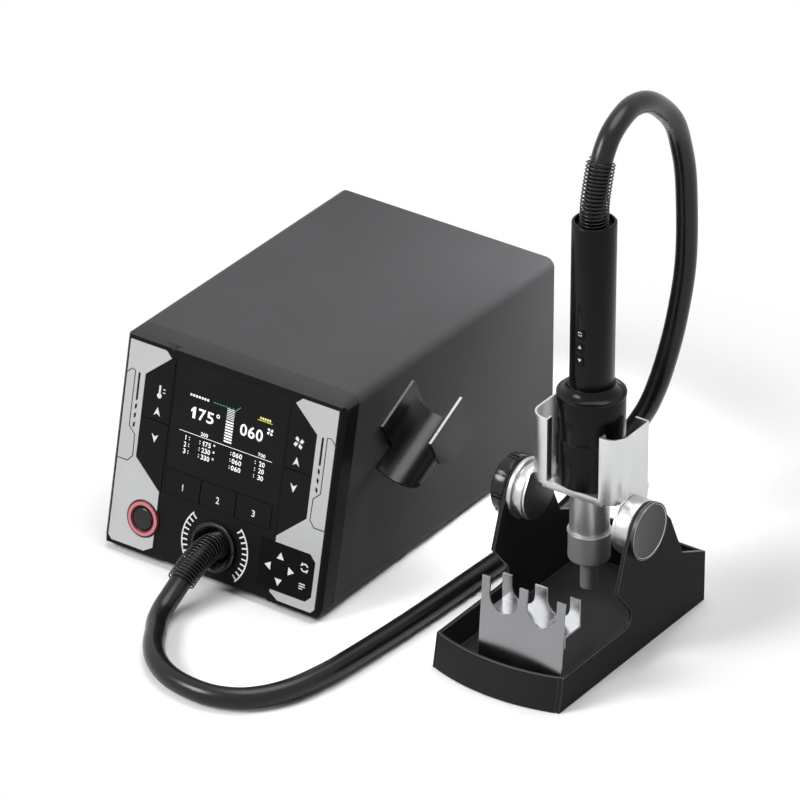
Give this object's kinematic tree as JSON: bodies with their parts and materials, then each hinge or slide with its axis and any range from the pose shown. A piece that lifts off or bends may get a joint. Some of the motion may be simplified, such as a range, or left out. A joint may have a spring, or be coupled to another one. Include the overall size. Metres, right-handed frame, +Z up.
{
  "type": "hot air rework station",
  "caption": "Hot air rework station: box-shaped blower and control unit with a sloping front panel, an air hose, and a benchtop stand whose tilting cradle holds the hand-held hot air gun",
  "frame": {"origin": "centre of the row's footprint on the bench, midway between the left side of the main unit and the disc on the stand, cord left out", "axes": "+X to the right along the front, +Y to the back, +Z up; the sloping front panel faces -Y"},
  "size_m": [0.3946, 0.4347, 0.3908],
  "materials": {
    "cover_paint": "satin black powder coat with a little gloss",
    "zinc_sheet": "zinc plated sheet",
    "panel_plastic": "fine matt moulded plastic",
    "trim_silver": "satin anodised",
    "window_glass": "dark clear acrylic",
    "display_glass": "smooth",
    "circuit_board": "green solder mask",
    "key_plastic": "soft touch, dark grey",
    "keypad_film": "fine textured film",
    "ring_red": "translucent red",
    "gloss_black": "glossy moulded plastic",
    "spring_black": "black coated spring wire",
    "hose_rubber": "matt silicone",
    "blower_plastic": "glass-filled nylon",
    "cast_alloy": "die cast",
    "transformer_steel": "varnished laminations, taped copper winding",
    "rubber_black": "matt",
    "stand_paint": "dark satin powder coat",
    "polished_steel": "bright nickel plated sheet",
    "satin_steel": "satin turned and brushed",
    "stainless": "stainless, faint heat tint",
    "ceramic_former": "mica and ceramic"
  },
  "bodies": {
    "station": {"housing_cover": "cover_paint", "base_chassis": "zinc_sheet", "rear_panel": "cover_paint", "front_fascia": "panel_plastic", "left_trim_plate": "trim_silver", "right_trim_plate": "trim_silver", "display_window": "window_glass", "display_module": "display_glass", "control_board": "circuit_board", "keypad_overlay": "keypad_film", "keypad_board": "circuit_board", "power_switch_body": "panel_plastic", "power_light_ring": "ring_red", "outlet_collar": "gloss_black", "outlet_spring": "spring_black", "hose_coupler": "hose_rubber", "blower_housing": "blower_plastic", "blower_motor": "cast_alloy", "transformer": "transformer_steel", "power_board": "circuit_board", "heat_sink": "cast_alloy", "mains_inlet": "gloss_black", "fuse_holder": "gloss_black", "unit_feet": "rubber_black", "unit_screws": "zinc_sheet", "side_hook": "cover_paint", "stand_frame": "stand_paint", "stand_pads": "rubber_black", "nozzle_rack": "polished_steel", "left_drum": "satin_steel", "right_drum": "satin_steel", "end_disc": "satin_steel", "pivot_bolt": "zinc_sheet", "hose_bench": "hose_rubber", "hose_rise": "hose_rubber"},
    "cradle_body": {"cradle": "satin_steel"},
    "handpiece": {"handle_shell": "panel_plastic", "flared_collar": "panel_plastic", "heat_sleeve": "panel_plastic", "heater_tube": "stainless", "heater_core": "ceramic_former", "nozzle_clamp": "stainless", "nozzle_tip": "stainless", "handle_board": "circuit_board", "handle_spring": "spring_black", "hose_top": "hose_rubber"},
    "tension_knob": {"star_knob": "gloss_black"},
    "power_push_button": {"power_button": "key_plastic"},
    "impeller": {"blower_impeller": "cast_alloy"},
    "temp_up_push": {"temp_up_key": "key_plastic"},
    "temp_down_push": {"temp_down_key": "key_plastic"},
    "air_up_push": {"air_up_key": "key_plastic"},
    "air_down_push": {"air_down_key": "key_plastic"},
    "channel_push_1": {"channel_key_1": "key_plastic"},
    "channel_push_2": {"channel_key_2": "key_plastic"},
    "channel_push_3": {"channel_key_3": "key_plastic"},
    "handle_push_1": {"handle_key_1": "key_plastic"},
    "handle_push_2": {"handle_key_2": "key_plastic"},
    "handle_push_3": {"handle_key_3": "key_plastic"}
  },
  "joints": [
    {"name": "cradle_tilt", "type": "hinge", "parent": "station", "child": "cradle_body", "pos_m": [0.14135, -0.0378, 0.095], "axis": [1, 0, 0], "range_deg": [-15, 30], "deforming": ["hose_rise", "hose_top"]},
    {"name": "handpiece_lift", "type": "slide", "parent": "cradle_body", "child": "handpiece", "axis": [0, 0, 1], "range_m": [0, 0.09], "deforming": ["hose_top"]},
    {"name": "knob_turn", "type": "hinge", "parent": "station", "child": "tension_knob", "pos_m": [0.14135, -0.0378, 0.095], "axis": [1, 0, 0], "range_deg": [-180, 180]},
    {"name": "power_press", "type": "slide", "parent": "station", "child": "power_push_button", "axis": [0, 0.9769, -0.2139], "range_m": [0, 0.0016], "stiffness_N_per_m": 900},
    {"name": "impeller_spin", "type": "hinge", "parent": "station", "child": "impeller", "pos_m": [-0.1298, 0.0432, 0.03], "axis": [0, 0, 1], "continuous": true},
    {"name": "temp_up_press", "type": "slide", "parent": "station", "child": "temp_up_push", "axis": [0, 0.9769, -0.2139], "range_m": [0, 0.0008], "stiffness_N_per_m": 600},
    {"name": "temp_down_press", "type": "slide", "parent": "station", "child": "temp_down_push", "axis": [0, 0.9769, -0.2139], "range_m": [0, 0.0008], "stiffness_N_per_m": 600},
    {"name": "air_up_press", "type": "slide", "parent": "station", "child": "air_up_push", "axis": [0, 0.9769, -0.2139], "range_m": [0, 0.0008], "stiffness_N_per_m": 600},
    {"name": "air_down_press", "type": "slide", "parent": "station", "child": "air_down_push", "axis": [0, 0.9769, -0.2139], "range_m": [0, 0.0008], "stiffness_N_per_m": 600},
    {"name": "channel_1_press", "type": "slide", "parent": "station", "child": "channel_push_1", "axis": [0, 0.9769, -0.2139], "range_m": [0, 0.0008], "stiffness_N_per_m": 600},
    {"name": "channel_2_press", "type": "slide", "parent": "station", "child": "channel_push_2", "axis": [0, 0.9769, -0.2139], "range_m": [0, 0.0008], "stiffness_N_per_m": 600},
    {"name": "channel_3_press", "type": "slide", "parent": "station", "child": "channel_push_3", "axis": [0, 0.9769, -0.2139], "range_m": [0, 0.0008], "stiffness_N_per_m": 600},
    {"name": "handle_1_press", "type": "slide", "parent": "handpiece", "child": "handle_push_1", "axis": [0, 1, 0], "range_m": [0, 0.0005], "stiffness_N_per_m": 600},
    {"name": "handle_2_press", "type": "slide", "parent": "handpiece", "child": "handle_push_2", "axis": [0, 1, 0], "range_m": [0, 0.0005], "stiffness_N_per_m": 600},
    {"name": "handle_3_press", "type": "slide", "parent": "handpiece", "child": "handle_push_3", "axis": [0, 1, 0], "range_m": [0, 0.0005], "stiffness_N_per_m": 600}
  ]
}
